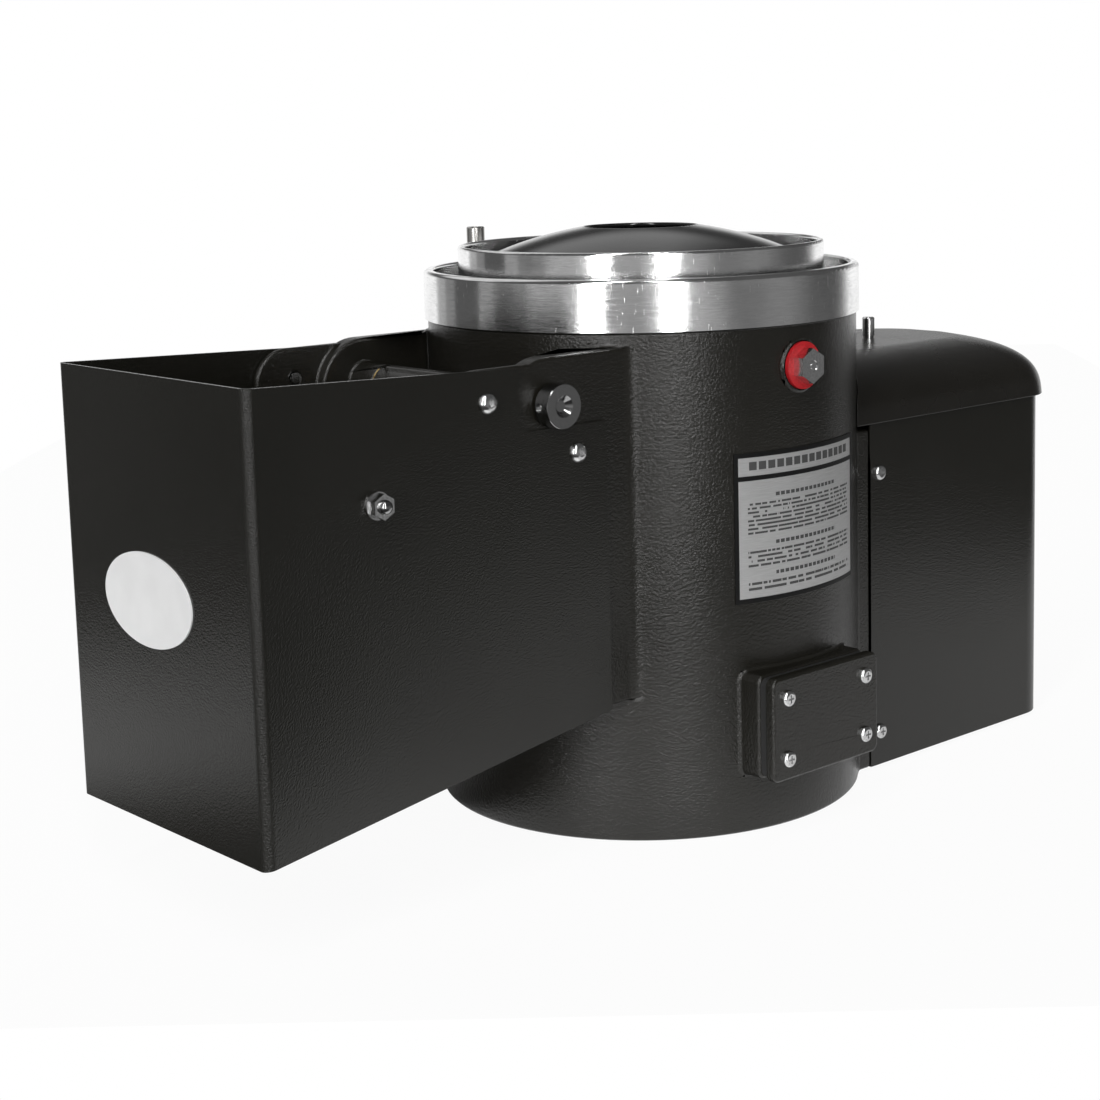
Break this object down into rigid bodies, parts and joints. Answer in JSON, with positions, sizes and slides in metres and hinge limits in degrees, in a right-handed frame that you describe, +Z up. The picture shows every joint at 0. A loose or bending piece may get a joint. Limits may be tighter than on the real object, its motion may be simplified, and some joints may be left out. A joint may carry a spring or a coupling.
{
  "type": "potato rumbler",
  "caption": "Bench-top potato rumbler: cast drum with a turning abrasive plate, lift-off lid, hinged discharge door in a chute guard and a belt drive under a side cover.",
  "frame": {"origin": "on the drum's axis, in the plane the drum stands on", "axes": "+Z up along the drum's axis, +X from the chute guard to the motor cover, -Y the side with the label"},
  "size_m": [0.789, 0.4214, 0.4296],
  "materials": {
    "casting_paint": "satin black textured paint over cast aluminium",
    "sheet_paint": "satin black fine-textured paint on folded steel sheet",
    "cap_paint": "satin black textured paint over a cast aluminium cap",
    "turned_aluminium": "lathe-turned aluminium, polished",
    "gloss_black": "glossy black moulding",
    "label_silver": "silver label plate, blank, with a black border and one black rule",
    "black_rubber": "black rubber",
    "zinc_steel": "bright zinc-plated steel",
    "bright_steel": "ground stainless steel",
    "bearing_steel": "machined steel",
    "steel_pipe": "stainless steel pipe",
    "red_fibre": "red sealing washer",
    "bright_brass": "machined brass",
    "cast_iron": "grey cast iron",
    "cast_aluminium": "as-cast aluminium",
    "grit": "bonded abrasive grit",
    "black_plastic": "black moulded plastic",
    "green_plastic": "green button",
    "red_plastic": "red button",
    "badge_white": "plain white oval badge, blank"
  },
  "bodies": {
    "frame": {"drum_body": "casting_paint", "collar_ring": "turned_aluminium", "label_plate": "label_silver", "outlet_cover_gasket": "black_rubber", "waste_outlet_gasket": "black_rubber", "outlet_cover": "casting_paint", "waste_spigot": "casting_paint", "outlet_screws": "zinc_steel", "plug_washer": "red_fibre", "water_plug": "zinc_steel", "inlet_washer": "red_fibre", "inlet_elbow": "bright_brass", "inlet_nut": "bright_brass", "inlet_pipe": "steel_pipe", "bearing_housing": "cast_iron", "ball_bearings": "bearing_steel", "shaft_seal": "black_rubber", "housing_bolts": "zinc_steel", "drive_belt": "black_rubber", "motor_frame": "cast_aluminium", "motor_stator": "cast_iron", "fan_cowl": "sheet_paint", "motor_plate": "zinc_steel", "motor_bolts": "zinc_steel", "motor_cover": "sheet_paint", "motor_cover_screws": "zinc_steel", "base_guard": "sheet_paint", "motor_cap": "cap_paint", "cap_bracket": "zinc_steel", "cap_stud": "zinc_steel", "switch_housing": "black_plastic", "cable_gland": "black_plastic", "gland_locknut": "black_plastic", "chute_guard": "sheet_paint", "guard_screws": "zinc_steel", "badge_plate": "badge_white", "stop_bar": "bright_steel", "stop_bar_washers": "zinc_steel", "stop_bar_nuts": "zinc_steel", "door_bushes": "bright_brass"},
    "lid": {"lid_ring": "turned_aluminium", "lid_dome": "gloss_black"},
    "rotor": {"spindle": "bearing_steel", "driven_pulley": "cast_aluminium", "pulley_bolt": "zinc_steel"},
    "rotor_disc": {"rotor_plate": "cast_aluminium", "rotor_abrasive": "grit"},
    "motor_rotor": {"motor_rotor": "bearing_steel", "motor_fan": "black_plastic", "motor_pulley": "cast_aluminium"},
    "door": {"discharge_door": "casting_paint", "door_seal": "black_rubber", "door_shaft": "bright_steel", "door_collar": "bright_steel", "collar_grub_screw": "zinc_steel", "door_lever": "casting_paint", "lever_pin": "zinc_steel", "lever_grip": "black_plastic"},
    "start_button": {"start_button": "green_plastic"},
    "stop_button": {"stop_button": "red_plastic"}
  },
  "joints": [
    {"name": "lid_lift", "type": "slide", "parent": "frame", "child": "lid", "axis": [0, 0, 1], "range_m": [0, 0.08]},
    {"name": "rotor_spin", "type": "hinge", "parent": "frame", "child": "rotor", "pos_m": [0, 0, 0.05], "axis": [0, 0, 1], "continuous": true},
    {"name": "disc_lift", "type": "slide", "parent": "rotor", "child": "rotor_disc", "axis": [0, 0, 1], "range_m": [0, 0.1]},
    {"name": "motor_spin", "type": "hinge", "parent": "frame", "child": "motor_rotor", "pos_m": [0.238, 0, 0.05], "axis": [0, 0, 1], "continuous": true},
    {"name": "door_swing", "type": "hinge", "parent": "frame", "child": "door", "pos_m": [-0.191, 0, 0.322], "axis": [0, 1, 0], "range_deg": [0, 73]},
    {"name": "start_press", "type": "slide", "parent": "frame", "child": "start_button", "axis": [0, -1, 0], "range_m": [0, 0.004], "stiffness_N_per_m": 300},
    {"name": "stop_press", "type": "slide", "parent": "frame", "child": "stop_button", "axis": [0, -1, 0], "range_m": [0, 0.004], "stiffness_N_per_m": 300}
  ],
  "couplings": [
    {"joint": "motor_spin", "follows": "rotor_spin", "ratio": 4}
  ]
}
